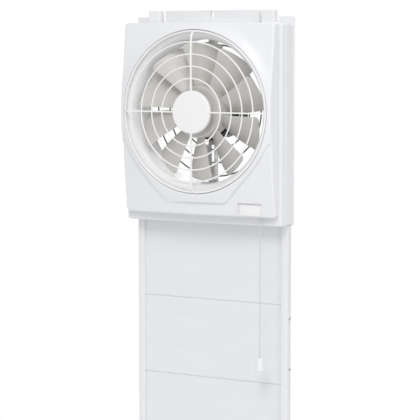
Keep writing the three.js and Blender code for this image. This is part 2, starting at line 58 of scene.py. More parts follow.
JOINTS = {joint["name"]: joint for joint in frame["record"]["behaviour"]["joints"]}
AXIS_Z = JOINTS["impeller_spin"]["pos_m"][2]
NODES = frame["nodes"]
SLOTS = {row["node"]: row["material_slot"] for row in frame["record"]["subparts"]}
BODY_OF = {node: body for body, nodes in frame["record"]["behaviour"]["bodies"].items() for node in nodes}


class Span:
    """A CAD node's box in millimetres, with heights measured from the fan axis."""

    def __init__(self, node):
        low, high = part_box(node)
        self.x0, self.y0, self.z0 = low.x / MM, low.y / MM, (low.z - AXIS_Z) / MM
        self.x1, self.y1, self.z1 = high.x / MM, high.y / MM, (high.z - AXIS_Z) / MM
        self.x, self.y, self.z = (self.x0 + self.x1) / 2, (self.y0 + self.y1) / 2, (self.z0 + self.z1) / 2


def turns(sides):
    """Evenly spaced angles round a full turn."""
    return [TAU * k / sides for k in range(sides)]


def place(x, y, z):
    """Millimetres from the fan axis to metres in the row's frame."""
    return Vector((x * MM, y * MM, z * MM + AXIS_Z))


def new_object(name, data):
    made = bpy.data.objects.new(name, data)
    bpy.context.scene.collection.objects.link(made)
    return made


# ------------------------------------------------------------------ camera and light

VIEW_AZIMUTH = math.radians(29.237)         # round to the right of straight ahead
VIEW_PITCH = math.radians(5.456)
VIEW_DISTANCE = 2387.0                      # to the grille cap, level
VIEW_HEIGHT = 92.14                         # camera above the fan axis
VIEW_ASIDE = 27.24                          # camera's line of sight passes this far right of the cap
LENS = 147.7
WORLD_LIGHT = 0.695
STAGE_RADIUS = 0.84


def make_camera():
    cap_front = Span("front_grille").y0
    x = VIEW_DISTANCE * math.sin(VIEW_AZIMUTH) + VIEW_ASIDE * math.cos(VIEW_AZIMUTH)
    y = cap_front - VIEW_DISTANCE * math.cos(VIEW_AZIMUTH) + VIEW_ASIDE * math.sin(VIEW_AZIMUTH)
    data = bpy.data.cameras.new("camera")
    data.lens = LENS
    data.sensor_width = 36
    camera = new_object("camera", data)
    camera.location = place(x, y, VIEW_HEIGHT)
    camera.rotation_euler = (math.pi / 2 - VIEW_PITCH, 0, VIEW_AZIMUTH)
    bpy.context.scene.camera = camera


def soft_light(name, location, target, size, power):
    data = bpy.data.lights.new(name, "AREA")
    data.shape = "DISK"
    data.size = size
    data.energy = power
    light = new_object(name, data)
    light.location = location
    light.rotation_euler = (Vector(target) - Vector(location)).to_track_quat("-Z", "Y").to_euler()


def make_world():
    """An even white surround: full white where it is seen, softer as a light."""
    world = bpy.data.worlds.new("surround")
    world.use_nodes = True
    nodes, links = world.node_tree.nodes, world.node_tree.links
    nodes.clear()
    output = nodes.new("ShaderNodeOutputWorld")
    mix = nodes.new("ShaderNodeMixShader")
    path = nodes.new("ShaderNodeLightPath")
    lighting = nodes.new("ShaderNodeBackground")
    lighting.inputs["Color"].default_value = (0.985, 0.99, 1, 1)
    lighting.inputs["Strength"].default_value = WORLD_LIGHT
    seen = nodes.new("ShaderNodeBackground")
    seen.inputs["Color"].default_value = (1, 1, 1, 1)
    seen.inputs["Strength"].default_value = 1.0
    links.new(path.outputs["Is Camera Ray"], mix.inputs["Fac"])
    links.new(lighting.outputs[0], mix.inputs[1])
    links.new(seen.outputs[0], mix.inputs[2])
    links.new(mix.outputs[0], output.inputs["Surface"])
    bpy.context.scene.world = world


def make_stage():
    make_world()
    bpy.context.scene.view_settings.view_transform = "Standard"
    soft_light("key", (0.9, -2.7, 2.9), (0, 0, 0.6), 1.5, 41)
    soft_light("fill", (2.4, -1.0, 1.3), (0, 0, 0.5), 1.6, 9.6)
    soft_light("back", (-0.6, 2.2, 1.6), (0, 0, 0.5), 1.2, 21)
    ring = [Vector((STAGE_RADIUS * math.cos(a), STAGE_RADIUS * math.sin(a), -0.0002)) for a in turns(96)]
    mesh = bpy.data.meshes.new("floor")
    mesh.from_pydata(ring, [], [list(range(len(ring)))])
    floor = new_object("floor", mesh)
    floor.data.materials.append(moulded("floor_white", (0.88, 0.88, 0.885), 0.6, grain=60, bump=0.02))


# ------------------------------------------------------------------ materials

def shade(colour, factor):
    return tuple(min(1.0, channel * factor) for channel in colour)


class Look:
    """One material's nodes, in object coordinates that may be stretched."""

    def __init__(self, name, stretch=(1, 1, 1)):
        self.material = bpy.data.materials.new(name)
        self.material.use_nodes = True
        self.nodes, self.links = self.material.node_tree.nodes, self.material.node_tree.links
        self.bsdf = self.nodes["Principled BSDF"]
        coordinates = self.node("ShaderNodeTexCoord", {})
        mapping = self.node("ShaderNodeMapping", {"Scale": stretch}, {"Vector": coordinates.outputs["Object"]})
        self.vector = mapping.outputs["Vector"]

    def node(self, kind, values, linked=None):
        """A new node with its constants set and its inputs linked."""
        node = self.nodes.new(kind)
        for socket, value in values.items():
            node.inputs[socket].default_value = value
        for socket, output in (linked or {}).items():
            self.links.new(output, node.inputs[socket])
        return node

    def surface(self, values, linked=None):
        """Constants and links of the surface itself."""
        for socket, value in values.items():
            self.bsdf.inputs[socket].default_value = value
        for socket, output in (linked or {}).items():
            self.links.new(output, self.bsdf.inputs[socket])
        return self.material

    def noise(self, scale, detail=3.0):
        values = {"Scale": scale, "Detail": detail}
        return self.node("ShaderNodeTexNoise", values, {"Vector": self.vector}).outputs["Fac"]

    def cells(self, scale):
        return self.node("ShaderNodeTexVoronoi", {"Scale": scale}, {"Vector": self.vector}).outputs

    def roughness(self, value, low, high):
        values = {"From Min": 0.3, "From Max": 0.7, "To Min": low, "To Max": high}
        spread = self.node("ShaderNodeMapRange", values, {"Value": value})
        self.surface({}, {"Roughness": spread.outputs["Result"]})

    def two_tone(self, value, first, second):
        ramp = self.node("ShaderNodeValToRGB", {}, {"Fac": value})
        for element, position, colour in zip(ramp.color_ramp.elements, (0.3, 0.7), (first, second)):
            element.position = position
            element.color = (*colour, 1)
        self.surface({}, {"Base Color": ramp.outputs["Color"]})

    def bump(self, height, strength, distance):
        bump = self.node("ShaderNodeBump", {"Strength": strength, "Distance": distance}, {"Height": height})
        self.surface({}, {"Normal": bump.outputs["Normal"]})


def moulded(name, colour, roughness, grain=900, bump=0.08, variation=0.012, stretch=(1, 1, 1), coat=0.0):
    """Moulded plastic: slow tone changes, fine texture, and roughness that wanders a little."""
    look = Look(name, stretch)
    look.two_tone(look.noise(9), shade(colour, 1 - variation), shade(colour, 1 + variation))
    look.roughness(look.noise(40), roughness - 0.04, roughness + 0.05)
    look.bump(look.noise(grain, 2), bump, 0.0004)
    return look.surface({"Coat Weight": coat, "Coat Roughness": 0.12})


def galvanised(name):
    """Zinc-coated sheet with its spangle."""
    look = Look(name)
    grey = look.node("ShaderNodeSeparateColor", {}, {"Color": look.cells(260)["Color"]})
    look.two_tone(grey.outputs["Red"], (0.68, 0.68, 0.67), (0.86, 0.86, 0.86))
    look.roughness(grey.outputs["Green"], 0.32, 0.5)
    look.bump(look.noise(500), 0.1, 0.0002)
    return look.surface({"Metallic": 0.7})


def plated(name, colour, roughness, streaks=(1, 1, 30)):
    look = Look(name, streaks)
    lines = look.noise(300, 4)
    look.two_tone(lines, shade(colour, 0.9), shade(colour, 1.06))
    look.roughness(lines, roughness - 0.05, roughness + 0.08)
    look.bump(lines, 0.12, 0.0002)
    return look.surface({"Metallic": 1.0})


def winding_wire(name):
    look = Look(name)
    wave = look.node("ShaderNodeTexWave", {"Scale": 900, "Distortion": 2}, {"Vector": look.vector})
    look.two_tone(wave.outputs["Fac"], (0.42, 0.15, 0.05), (0.72, 0.33, 0.14))
    look.bump(wave.outputs["Fac"], 0.6, 0.0003)
    return look.surface({"Metallic": 0.85, "Roughness": 0.35})


def foam(name):
    look = Look(name)
    pores = look.cells(900)["Distance"]
    look.two_tone(pores, (0.05, 0.05, 0.052), (0.17, 0.17, 0.175))
    look.bump(pores, 0.8, 0.0006)
    return look.surface({"Roughness": 0.95})


def braided(name, colour):
    """Thin braided cord: two sets of crossing strands."""
    look = Look(name)
    cross = look.node("ShaderNodeMath", {})
    cross.operation = "MAXIMUM"
    for strand, slant in enumerate((math.radians(38), math.radians(-38))):
        turned = look.node("ShaderNodeMapping", {"Rotation": (slant, slant, 0)}, {"Vector": look.vector})
        wave = look.node("ShaderNodeTexWave", {"Scale": 420}, {"Vector": turned.outputs["Vector"]})
        wave.bands_direction = "Z"
        look.links.new(wave.outputs["Fac"], cross.inputs[strand])
    look.two_tone(cross.outputs[0], shade(colour, 0.78), colour)
    look.bump(cross.outputs[0], 0.5, 0.0002)
    return look.surface({"Roughness": 0.75})


MATERIALS = {
    "panel_white": moulded("panel_white", (0.84, 0.845, 0.86), 0.34, grain=1400, bump=0.05, coat=0.15),
    "grille_white": moulded("grille_white", (0.9, 0.9, 0.89), 0.3, grain=1200, bump=0.04, coat=0.25),
    "frame_white": moulded("frame_white", (0.83, 0.835, 0.845), 0.45, grain=1100, bump=0.12),
    "board_white": moulded("board_white", (0.81, 0.82, 0.835), 0.55, grain=700, bump=0.1, stretch=(1, 1, 6)),
    "throat_grey": moulded("throat_grey", (0.89, 0.9, 0.9), 0.42, grain=900, bump=0.07),
    "blade_beige": moulded("blade_beige", (0.615, 0.593, 0.565), 0.36, grain=500, bump=0.07, variation=0.03,
                           coat=0.1),
    "motor_black": moulded("motor_black", (0.022, 0.022, 0.023), 0.42, grain=800, bump=0.3, variation=0.2),
    "rubber": moulded("rubber", (0.035, 0.035, 0.037), 0.7, grain=600, bump=0.2, variation=0.15),
    "zinc": galvanised("zinc"),
    "steel": plated("steel", (0.66, 0.66, 0.66), 0.24),
    "wire_grey": moulded("wire_grey", (0.17, 0.16, 0.15), 0.4, grain=700, bump=0.1, variation=0.08),
    "copper": winding_wire("copper"),
    "foam": foam("foam"),
    "cord_white": braided("cord_white", (0.7, 0.7, 0.69)),
}

# ------------------------------------------------------------------ mesh helpers


def finish_piece(piece, node, extra_nodes=(), smooth_angle=35):
    """Material, body, slot and CAD nodes of a new piece, named after the node it stands for."""
    slot = SLOTS[node]
    if not piece.data.materials:
        piece.data.materials.append(MATERIALS[slot])
    if piece.type == "MESH":
        shade_smooth(piece, smooth_angle)
    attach(piece, BODY_OF[node])
    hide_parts(node, *extra_nodes)
    return piece


def shade_smooth(piece, angle):
    mesh = piece.data
    mesh.polygons.foreach_set("use_smooth", [True] * len(mesh.polygons))
    mesh.set_sharp_from_angle(angle=math.radians(angle))


def mesh_piece(name, points, faces):
    mesh = bpy.data.meshes.new(name)
    mesh.from_pydata([tuple(point) for point in points], [], faces)
    mesh.update()
    tidy = bmesh.new()
    tidy.from_mesh(mesh)
    bmesh.ops.remove_doubles(tidy, verts=tidy.verts, dist=1e-7)
    bmesh.ops.recalc_face_normals(tidy, faces=tidy.faces)
    tidy.to_mesh(mesh)
    tidy.free()
    return new_object(name, mesh)


def loop_faces(rings, count, close=True, wrap=False, first=0):
    """Quads between successive rings of count points; close joins each ring, wrap joins last to first."""
    faces = []
    for i in range(rings if wrap else rings - 1):
        low, high = first + i * count, first + ((i + 1) % rings) * count
        for j in range(count if close else count - 1):
            k = (j + 1) % count
            faces.append((low + j, low + k, high + k, high + j))
    return faces


class Mesh:
    """Gathers closed shells into one piece."""

    def __init__(self):
        self.points = []
        self.faces = []

    def add(self, points, faces):
        start = len(self.points)
        self.points += points
        self.faces += [tuple(start + index for index in face) for face in faces]

    def rings(self, rings, wrap=False, caps=False):
        count = len(rings[0])
        faces = loop_faces(len(rings), count, wrap=wrap)
        if caps:
            faces.append(tuple(range(count - 1, -1, -1)))
            faces.append(tuple(range((len(rings) - 1) * count, len(rings) * count)))
        self.add([point for ring in rings for point in ring], faces)

    def turned(self, profile, sides=160):
        """A closed [radius, y] profile turned about the fan axis."""
        self.rings([on_ray(a, profile) for a in turns(sides)], wrap=True)

    def upright(self, profile, x, y, sides=48):
        """A closed [radius, z] profile turned about a vertical line."""
        self.rings([[place(x + r * math.cos(a), y + r * math.sin(a), z) for r, z in profile]
                    for a in turns(sides)], wrap=True)

    def tube(self, path, radius, sides=10, closed=False):
        """A round bar along a path of points in millimetres."""
        self.sweep(path, circle(radius, sides), closed)

    def hoop(self, radius, y, wire, sides, steps):
        """A round bar bent into a ring about the fan axis."""
        path = [(radius * math.cos(a), y, radius * math.sin(a)) for a in turns(steps)]
        self.tube(path, wire, sides, closed=True)

    def sweep(self, path, section, closed=False, up=Vector((0, 1, 0))):
        """A section, as (across, up) offsets, carried along a path."""
        points = [Vector(p) for p in path]
        rings = []
        for i, point in enumerate(points):
            ahead = points[(i + 1) % len(points)] if closed or i + 1 < len(points) else point
            behind = points[i - 1] if closed or i > 0 else point
            along = (ahead - behind).normalized()
            across = along.cross(up).normalized()
            rise = across.cross(along)
            rings.append([place(*(point + across * u + rise * v)) for u, v in section])
        self.rings(rings, wrap=closed, caps=not closed)

    def piece(self, name):
        return mesh_piece(name, self.points, self.faces)


def rounded_bar(half_width, half_depth, radius, steps=3):
    """Section of a bar with rounded edges."""
    section = []
    for turn, (sx, sy) in enumerate(((1, 1), (-1, 1), (-1, -1), (1, -1))):
        for k in range(steps + 1):
            angle = math.pi / 2 * (turn + k / steps)
            section.append((sx * (half_width - radius) + radius * math.cos(angle),
                            sy * (half_depth - radius) + radius * math.sin(angle)))
    return section


def on_ray(angle, section):
    """A section's (radius, y) points on one ray from the fan axis."""
    return [place(r * math.cos(angle), y, r * math.sin(angle)) for r, y in section]


def arc(centre, radius, start, end, steps):
    return [(centre[0] + radius * math.cos(math.radians(start + (end - start) * k / steps)),
             centre[1] + radius * math.sin(math.radians(start + (end - start) * k / steps)))
            for k in range(steps + 1)]


def rounded_outline(x0, x1, z0, z1, radius, steps=6):
    return (arc((x1 - radius, z1 - radius), radius, 0, 90, steps)
            + arc((x0 + radius, z1 - radius), radius, 90, 180, steps)
            + arc((x0 + radius, z0 + radius), radius, 180, 270, steps)
            + arc((x1 - radius, z0 + radius), radius, 270, 360, steps))


def circle(radius, sides=120):
    return [(radius * math.cos(a), radius * math.sin(a)) for a in turns(sides)]


def plate(name, outlines, front, rear, bevel):
    """A sheet in X and Z with bevelled edges; outlines after the first are holes."""
    curve = bpy.data.curves.new(name, "CURVE")
    curve.dimensions = "2D"
    curve.fill_mode = "BOTH"
    curve.extrude = ((rear - front) / 2 - bevel) * MM
    curve.bevel_depth = bevel * MM
    curve.bevel_resolution = 2
    curve.offset = -bevel * MM
    for outline in outlines:
        spline = curve.splines.new("POLY")
        spline.points.add(len(outline) - 1)
        spline.use_cyclic_u = True
        for point, (x, z) in zip(spline.points, outline):
            point.co = (x * MM, z * MM, 0, 1)
    carrier = new_object(name, curve)
    carrier.matrix_world = (Matrix.Translation(place(0, (front + rear) / 2, 0))
                            @ Matrix.Rotation(math.pi / 2, 4, "X"))
    bpy.context.view_layer.update()
    mesh = bpy.data.meshes.new_from_object(carrier.evaluated_get(bpy.context.evaluated_depsgraph_get()))
    mesh.transform(carrier.matrix_world)
    bpy.data.objects.remove(carrier)
    bpy.data.curves.remove(curve)
    mesh.name = name
    piece = new_object(name, mesh)
    weld(piece)
    return piece


def weld(piece):
    tidy = bmesh.new()
    tidy.from_mesh(piece.data)
    bmesh.ops.remove_doubles(tidy, verts=tidy.verts, dist=2e-6)
    bmesh.ops.recalc_face_normals(tidy, faces=tidy.faces)
    tidy.to_mesh(piece.data)
    tidy.free()


def bevelled(piece, width, segments=3):
    modifier = piece.modifiers.new("edges", "BEVEL")
    modifier.width = width * MM
    modifier.segments = segments
    modifier.limit_method = "ANGLE"
    modifier.angle_limit = math.radians(35)
    modifier.harden_normals = False
    return piece


def prism(name, outline, low, high, plane):
    """An outline given height between two levels: 'xy' rises along Z, 'xz' runs along Y, 'yz' along X."""
    turn = {"xy": lambda u, v, w: place(u, v, w), "xz": lambda u, v, w: place(u, w, v),
            "yz": lambda u, v, w: place(w, u, v)}[plane]
    shape = Mesh()
    shape.rings([[turn(u, v, level) for u, v in outline] for level in (low, high)], caps=True)
    return shape.piece(name)


def block(name, span, inset=0.0):
    outline = [(span.x0 + inset, span.y0 + inset), (span.x1 - inset, span.y0 + inset),
               (span.x1 - inset, span.y1 - inset), (span.x0 + inset, span.y1 - inset)]
    return prism(name, outline, span.z0 + inset, span.z1 - inset, "xy")


def carve(piece, cutter, operation="DIFFERENCE"):
    """Cuts a piece with another, or joins them, and keeps the result as its mesh."""
    modifier = piece.modifiers.new("carve", "BOOLEAN")
    modifier.operation = operation
    modifier.object = cutter
    modifier.solver = "MANIFOLD"
    bpy.context.view_layer.update()
    result = bpy.data.meshes.new_from_object(
        piece.evaluated_get(bpy.context.evaluated_depsgraph_get()))
    result.materials.clear()  # the solver leaves an empty slot; finish_piece sets the material
    piece.modifiers.clear()
    piece.data = result
    bpy.data.objects.remove(cutter)


# ------------------------------------------------------------------ outlines seen from the fan axis


def ray_angles(corners, every=1.5, near=3.0, near_every=0.25):
    """Angles round the fan axis, closer together at the corners."""
    angles = set(round(k * every, 3) for k in range(int(360 / every)))
    for x, z in corners:
        middle = math.degrees(math.atan2(z, x)) % 360
        steps = int(near / near_every)
        angles |= {round((middle + k * near_every) % 360, 3) for k in range(-steps, steps + 1)}
    return [math.radians(a) for a in sorted(angles)]


def ray_to_box(angle, x1, z0, z1, radius):
    """Distance from the axis to a rounded rectangle, symmetric in X, along a ray."""
    c, s = math.cos(angle), math.sin(angle)
    level = z1 if s > 0 else -z0
    reach = min(x1 / max(abs(c), 1e-9), level / max(abs(s), 1e-9))
    cx, cz = x1 - radius, (z1 - radius) if s > 0 else (z0 + radius)
    if abs(reach * c) > cx and (reach * s > cz if s > 0 else reach * s < cz):
        along = abs(c) * cx + s * cz
        return along + math.sqrt(max(0.0, along * along - (cx * cx + cz * cz - radius * radius)))
    return reach


# ------------------------------------------------------------------ front panel

BEZEL = Span("front_bezel")
GRILLE = Span("front_grille")
MOUTH = GRILLE.x1 + 0.7                     # radius of the bezel's round opening
CREASE = 119.5                              # the same where it runs down into the apron's edges
CREASE_TURN = math.radians(43)              # the apron's edges touch that circle this far below level
BOSS_FLOOR = -125.5                         # lower end of the raised apron
CROWN = 5.4                                 # the face's set-back at the crease, and its slope outwards
CROWN_SLOPE = 0.165
EDGE = 4.2                                  # rounding of the bezel's front edge
CORNER = 4.6
WALL = 2.4


def smoothstep(value):
    value = max(0.0, min(1.0, value))
    return value * value * (3 - 2 * value)


def boss_reach(angle):
    """Outline of the raised ring and of the apron that runs down from it between two slanted edges."""
    s = math.sin(angle)
    if s > -math.sin(CREASE_TURN):
        return CREASE + 30 * smoothstep((s + math.sin(CREASE_TURN)) / 0.9) ** 2
    below = math.asin(-s)                   # angle below level, on either side
    slant = CREASE / max(0.2, math.cos(below - CREASE_TURN))
    return max(CREASE, min(slant, BOSS_FLOOR / s))


def face_depth(radius, outline, down):
    """How far forward the bezel's face stands at a radius: a raised ring that runs into a crowned face."""
    crown = BEZEL.y0 + CROWN + CROWN_SLOPE * (radius - 121)
    if radius > outline:
        return crown
    fall = 0.62 - 0.32 * down
    rise = max(0.0, radius - MOUTH - 0.9)
    boss = BEZEL.y0 + 0.12 + fall * rise * rise / (rise + 2.0)
    blend = 1.6 * (1 - down) + 0.2
    return -blend * math.log(math.exp(-boss / blend) + math.exp(-crown / blend))


def bezel_ring(angle):
    """The bezel's closed section along one ray, as (radius, y) points from the mouth outwards and back."""
    down = smoothstep((-math.sin(angle) - 0.55) / 0.35)
    reach = lambda inset: ray_to_box(angle, BEZEL.x1 - inset, BEZEL.z0 + inset, BEZEL.z1 - inset,
                                     max(0.6, CORNER - inset))
    top = BEZEL.y0 + 0.05
    edge_start = reach(EDGE)
    start = MOUTH + 0.9
    outline = max(start - 0.4, min(boss_reach(angle), edge_start - 0.5))
    left = smoothstep(-2 * math.cos(angle))  # the step down from the apron is softer on this side
    foot = min(outline + 0.4 + 5 * left, edge_start - 0.1)
    face = [start + (outline - start) * k / 10 for k in range(11)] + [foot]
    face += [foot + (edge_start - foot) * k / 12 for k in range(1, 13)]
    heights = [face_depth(r, outline if outline < edge_start - 0.6 else 999, down) for r in face]
    edge_y = heights[-1]
    section = [(MOUTH, -54.0), (MOUTH, top + 0.9), (MOUTH + 0.26, top + 0.26)] + list(zip(face, heights))
    for k in range(1, 8):
        turn = math.pi / 2 * k / 7
        section.append((reach(EDGE * (1 - math.sin(turn))), edge_y + EDGE * (1 - math.cos(turn))))
    side_foot = BEZEL.y1
    inner = min(reach(EDGE + 3), foot + 2)
    section += [(reach(0), side_foot - 7.6), (reach(0.35), side_foot - 7.2), (reach(0.35), side_foot - 0.5),
                (reach(0.8), side_foot), (reach(WALL), side_foot), (reach(WALL), edge_y + EDGE + 0.6),
                (reach(WALL + 1.4), edge_y + WALL + 1.2),
                (inner, max(-54.0, BEZEL.y0 + CROWN + WALL + CROWN_SLOPE * (inner - 121)))]
    return section


def build_bezel():
    corners = [(x, z) for x in (-BEZEL.x1, BEZEL.x1) for z in (BEZEL.z0, BEZEL.z1)]
    shape = Mesh()
    shape.rings([on_ray(a, bezel_ring(a)) for a in ray_angles(corners)], wrap=True)
    bezel = shape.piece("bezel_shell")
    label = Span("label_plate")
    x0, x1, z0, z1 = label.x0 - 3, label.x1 + 3, label.z0 - 0.7, label.z1 + 2.5
    seat = label.y1 + GAP
    carve(bezel, prism("pad", rounded_outline(x0 - 1.5, x1 - 0.05, z0 + 0.05, z1 + 1.5, 1.6, 4),
                       seat - 2.6, seat + 3.2, "xz"), "UNION")
    carve(bezel, prism("pocket", rounded_outline(x0, x1, z0, z1, 1.6, 4), -90, seat, "xz"))
    slider = Span("switch_slider")
    notch = ([(slider.x - 5.4, BEZEL.y1 + 5)] + arc((slider.x, slider.y), 5.4, 180, 360, 12)
             + [(slider.x + 5.4, BEZEL.y1 + 5)])
    carve(bezel, prism("notch", notch, BEZEL.z0 - 4, BEZEL.z0 + 6, "xy"))
    weld(bezel)
    finish_piece(bezel, "front_bezel", smooth_angle=28)


def join_shell(piece, other):
    """Adds another piece's shell to this one."""
    gathered = bmesh.new()
    gathered.from_mesh(piece.data)
    gathered.from_mesh(other.data)
    gathered.to_mesh(piece.data)
    gathered.free()
    bpy.data.objects.remove(other)


def build_label_plate():
    span = Span("label_plate")
    label = plate("blank_label_plate", [rounded_outline(span.x0, span.x1, span.z0, span.z1, 2.2, 6)],
                  span.y0 + 0.35, span.y1, 0.35)
    border = Mesh()
    inner = rounded_outline(span.x0 + 1.5, span.x1 - 1.5, span.z0 + 1.5, span.z1 - 1.5, 1.2, 6)
    border.sweep([(x, span.y0 + 0.3, z) for x, z in inner], rounded_bar(0.25, 0.16, 0.1, 2), closed=True)
    join_shell(label, border.piece("border"))
    finish_piece(label, "label_plate")


RING_RADII = (46.6, 63.4, 80.2, 97.0)
RING_WIRE = 1.05
CAP_RADIUS = 30.0


def spoke_path(front):
    """Down the middle of a spoke, as (radius, y): straight across the rings, then curving back to the rim."""
    middle = front + 1.6
    line = [(27 + 70 * k / 14, middle - 0.25 * math.sin(math.pi * k / 14)) for k in range(15)]
    bend = [(97 + 13.6 * math.sin(a), middle + 7.2 * (1 - math.cos(a)))
            for a in (math.pi / 2 * k / 10 for k in range(1, 11))]
    return line + bend


def build_grille():
    shape = Mesh()
    front = GRILLE.y0 + 0.3
    rim = GRILLE.x1
    shape.turned([(rim - 3.1, -57.6), (rim - 3.1, -61.6), (rim - 2.8, -62.4), (rim - 2.2, -62.9),
                  (rim - 1.5, -63), (rim - 0.8, -62.9), (rim - 0.2, -62.4), (rim, -61.6), (rim, -57.6)], 200)
    for radius in RING_RADII:
        shape.hoop(radius, front + 1.2, RING_WIRE, 10, 144)
    for quarter in range(4):
        turn = quarter * math.pi / 2
        c, s = math.cos(turn), math.sin(turn)
        half = 1.1 if quarter % 2 == 0 else 1.4
        path = [(r * c, y, r * s) for r, y in spoke_path(front)]
        shape.sweep(path, rounded_bar(half, 1.4, 0.7), up=Vector((0, -1, 0)))
    dome = [(r, front - 0.3 * (1 - (r / 27.8) ** 2) + 0.02) for r in (0.001, 8, 15, 21, 25.5)]
    edge = arc((CAP_RADIUS - 2.2, front + 2.2), 2.2, -90, 0, 6)
    shape.turned(dome + edge + [(CAP_RADIUS + 0.3, -64.4), (CAP_RADIUS, -64), (CAP_RADIUS - 1.4, -64),
                                 (CAP_RADIUS - 1.7, front + 3), (0.001, front + 2.4)], 128)
    finish_piece(shape.piece("grille"), "front_grille", smooth_angle=45)


# ------------------------------------------------------------------ impeller

IMPELLER = Span("impeller")
TIP = IMPELLER.z1
HUB = 36.7
HUB_FRONT = IMPELLER.y0
BLADES = 10
BLADE_THICK = 1.8
BLADE_CAMBER = 2.2
LEADING_CORNER, TRAILING_CORNER = 6.5, 3.0


def blade_edges(t):
    """(degrees, y) of the first blade's leading and trailing edges; t is 0 at the hub and 1 at the tip."""
    return (30.2 + 1.9 * t + t * t, -43.8 - 7.9 * t), (0.15 - 3.9 * t + 6.4 * t * t, -28.1 + 5.1 * t)


def corner_inset(radius, corner):
    past = min(corner, max(0.0, radius - TIP + corner))
    return (corner - math.sqrt(corner * corner - past * past)) / radius


def blade_point(radius, along):
    """Middle surface of the first blade, from its leading edge (along = 0) to its trailing edge (1)."""
    (lead, lead_y), (trail, trail_y) = blade_edges((radius - HUB) / (TIP - HUB))
    chord = math.radians(lead - trail)
    first = corner_inset(radius, LEADING_CORNER) / chord
    last = 1 - corner_inset(radius, TRAILING_CORNER) / chord
    share = first + (last - first) * along
    angle = math.radians(lead) - chord * share
    y = lead_y + (trail_y - lead_y) * share - BLADE_CAMBER * math.sin(share * math.pi)
    return Vector((radius * math.cos(angle), y, radius * math.sin(angle)))


def blade_shell(turn, radial=22, chord=20):
    front, rear = [], []
    spin = Matrix.Rotation(-turn, 3, "Y")
    for i in range(radial + 1):
        radius = HUB - 1.1 + (TIP - HUB + 1.1) * math.sin(math.pi / 2 * i / radial)
        for j in range(chord + 1):
            along = 0.5 - 0.5 * math.cos(math.pi * j / chord)
            middle = blade_point(radius, along)
            outward = (middle - blade_point(radius - 0.2, along)).normalized()
            chordwise = (blade_point(radius, min(1, along + 0.01)) - blade_point(radius, max(0, along - 0.01)))
            normal = outward.cross(chordwise.normalized()).normalized()
            if normal.y > 0:
                normal.negate()
            edge = min(1.0, 2.2 * (0.25 - (along - 0.5) ** 2) ** 0.5 * 2) if 0 < j < chord else 0.0
            tip = 0.0 if i == radial else min(1.0, math.sqrt((radial - i) * 0.5))
            half = BLADE_THICK / 2 * max(0.06, min(edge, tip))
            front.append(spin @ (middle + normal * half))
            rear.append(spin @ (middle - normal * half))
    row = chord + 1
    points = [place(*p) for p in front + rear]
    other = len(front)
    faces = []
    for i in range(radial):
        for j in range(chord):
            a = i * row + j
            faces.append((a, a + 1, a + row + 1, a + row))
            faces.append((other + a, other + a + row, other + a + row + 1, other + a + 1))
        start, end = i * row, i * row + chord
        faces.append((start, start + row, other + start + row, other + start))
        faces.append((end, other + end, other + end + row, end + row))
    for j in range(chord):
        tip = radial * row + j
        faces.append((j, other + j, other + j + 1, j + 1))
        faces.append((tip, tip + 1, other + tip + 1, other + tip))
    return points, faces


def build_impeller():
    shape = Mesh()
    for k in range(BLADES):
        shape.add(*blade_shell(TAU * k / BLADES))
    bore = 4.2
    shoulder = arc((HUB - 3.4, HUB_FRONT + 3.4), 3.4, -90, 0, 6)
    shape.turned([(bore, HUB_FRONT + 1.2), (11, HUB_FRONT + 1.2), (12, HUB_FRONT)] + shoulder
                 + [(HUB, -22.3), (HUB - 0.3, -22), (HUB - 2, -22), (HUB - 2, HUB_FRONT + 5.5),
                    (HUB - 5, HUB_FRONT + 2.4), (9, HUB_FRONT + 2.4), (9, -24), (bore, -24)], 144)
    for k in range(BLADES):                 # stiffening ribs inside the hub
        a = TAU * (k + 0.5) / BLADES
        c, s = math.cos(a), math.sin(a)
        path = [(r * c, -37.0, r * s) for r in (8.8, 20, HUB - 1.9)]
        shape.sweep(path, rounded_bar(0.8, 12.5, 0.3), up=Vector((0, 1, 0)))
    finish_piece(shape.piece("impeller_moulding"), "impeller", smooth_angle=40)


# ------------------------------------------------------------------ throat and frame

FRAME = Span("mounting_frame")
FLANGE = Span("rear_flange")
FRAME_BOTTOM = FLANGE.z0
THROAT = 101.0                              # radius that the blades turn in


def build_orifice():
    """Bell mouth that narrows to the blades' throat, with the screwed flange round its outside."""
    shape = Mesh()
    span = Span("orifice_ring")
    flare = [(THROAT + 10.8 * (1 - math.cos(math.radians(a))), -38 - 18.9 * math.sin(math.radians(a)))
             for a in range(90, -1, -9)]
    shape.turned(flare + [(THROAT, span.y1 - 0.3), (THROAT + 0.3, span.y1), (THROAT + 1.8, span.y1),
                          (THROAT + 1.8, -36), (span.x1, -36), (span.x1, -37.8), (THROAT + 2.4, -37.8),
                          (THROAT + 3.8, -47), (THROAT + 7.2, -52.2), (THROAT + 11.9, -55.8),
                          (THROAT + 11.9, -56.7), (THROAT + 11.6, -56.95)], 200)
    ring = shape.piece("throat")
    pad = Mesh()                            # low pad moulded on the bell mouth, left of the lowest point
    lip = flare[1:6]
    section = [(r - 0.6, y - 0.45) for r, y in lip] + [(r + 0.3, y + 0.3) for r, y in reversed(lip)]
    pad.rings([on_ray(math.radians(degrees), section) for degrees in range(-107, -96, 2)], caps=True)
    join_shell(ring, pad.piece("throat_pad"))
    finish_piece(ring, "orifice_ring", smooth_angle=40)


